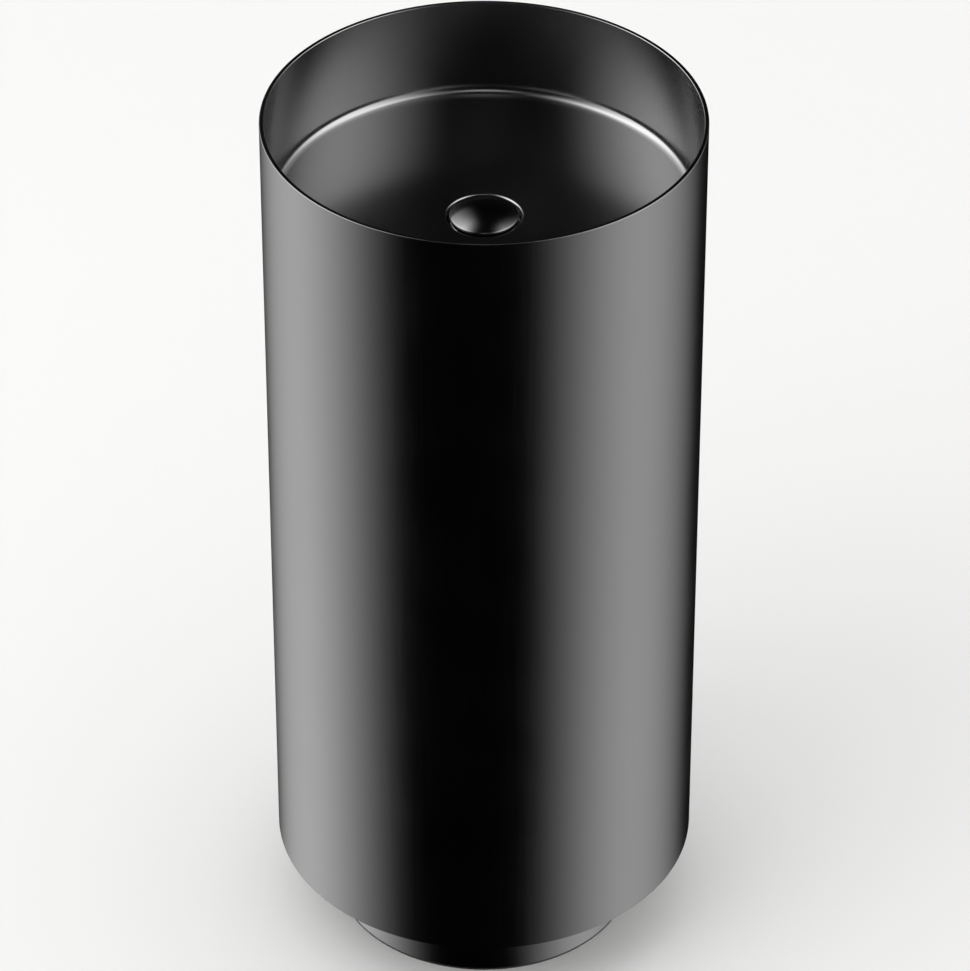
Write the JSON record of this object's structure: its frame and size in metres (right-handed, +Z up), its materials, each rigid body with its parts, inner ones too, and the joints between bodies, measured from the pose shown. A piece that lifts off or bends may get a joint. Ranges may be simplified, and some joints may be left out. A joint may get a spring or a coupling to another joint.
{
  "type": "pedestal sink",
  "caption": "Tall round pedestal wash basin in dark brushed steel, with an inset bowl, a domed click plug, a recessed plinth, and a trap behind a rear service hatch.",
  "frame": {"origin": "on the floor, under the centre of the cylinder", "axes": "+Z up, -Y towards the front, where the user stands, and +Y towards the service hatch at the back"},
  "size_m": [0.3999, 0.4, 0.88],
  "materials": {
    "dark_steel": "brushed, dark grey",
    "dark_polish": "polished, dark grey",
    "plain_steel": "satin",
    "zinc_steel": "zinc plated",
    "brass": "turned",
    "black_rubber": "moulded",
    "foam": "closed cell foam",
    "pad": "sound deadening sheet",
    "white_plastic": "moulded",
    "grey_plastic": "moulded"
  },
  "bodies": {
    "pedestal": {"outer_shell": "dark_steel", "basin_liner": "dark_steel", "damping_pad": "pad", "base_plate": "dark_steel", "plinth_ring": "dark_steel", "plinth_bolts": "zinc_steel", "plinth_washers": "zinc_steel", "plinth_nuts": "zinc_steel", "floor_gasket": "black_rubber", "floor_ring": "plain_steel", "plinth_screws": "zinc_steel", "hatch_frame": "dark_steel", "hatch_gasket": "foam", "hatch_nuts": "zinc_steel", "waste_body": "dark_polish", "waste_seal": "black_rubber", "waste_lower_washer": "black_rubber", "waste_slip_washer": "white_plastic", "waste_backnut": "brass", "click_cartridge": "brass", "cartridge_gland": "brass", "return_spring": "plain_steel", "tailpiece": "white_plastic", "tailpiece_washer": "black_rubber", "tailpiece_nut": "grey_plastic", "trap_body": "white_plastic", "trap_inlet_washer": "black_rubber", "trap_inlet_nut": "grey_plastic", "trap_cup_seal": "black_rubber", "trap_outlet_washer": "black_rubber", "trap_outlet_nut": "grey_plastic", "outlet_pipe": "white_plastic", "outlet_seal": "black_rubber", "floor_connector": "grey_plastic"},
    "spindle": {"plug_spindle": "plain_steel"},
    "plug": {"plug_cap": "dark_polish", "plug_seal": "black_rubber"},
    "rotor": {"latch_rotor": "white_plastic"},
    "hatch": {"hatch_panel": "dark_steel", "hatch_screws": "plain_steel"},
    "cup": {"trap_cup": "white_plastic"}
  },
  "joints": [
    {"name": "plug_lift", "type": "slide", "parent": "pedestal", "child": "spindle", "axis": [0, 0, 1], "range_m": [0, 0.009], "deforming": ["return_spring"]},
    {"name": "plug_turn", "type": "hinge", "parent": "spindle", "child": "plug", "pos_m": [0, 0, 0.777], "axis": [0, 0, 1], "continuous": true},
    {"name": "latch_turn", "type": "hinge", "parent": "spindle", "child": "rotor", "pos_m": [0, 0, 0.74], "axis": [0, 0, 1], "range_deg": [0, 45]},
    {"name": "hatch_removal", "type": "slide", "parent": "pedestal", "child": "hatch", "axis": [0, 1, 0], "range_m": [0, 0.12]},
    {"name": "cup_removal", "type": "slide", "parent": "pedestal", "child": "cup", "axis": [0, 0, -1], "range_m": [0, 0.07]}
  ],
  "couplings": [
    {"joint": "latch_turn", "follows": "plug_lift", "rad_per_m": 87.266}
  ]
}
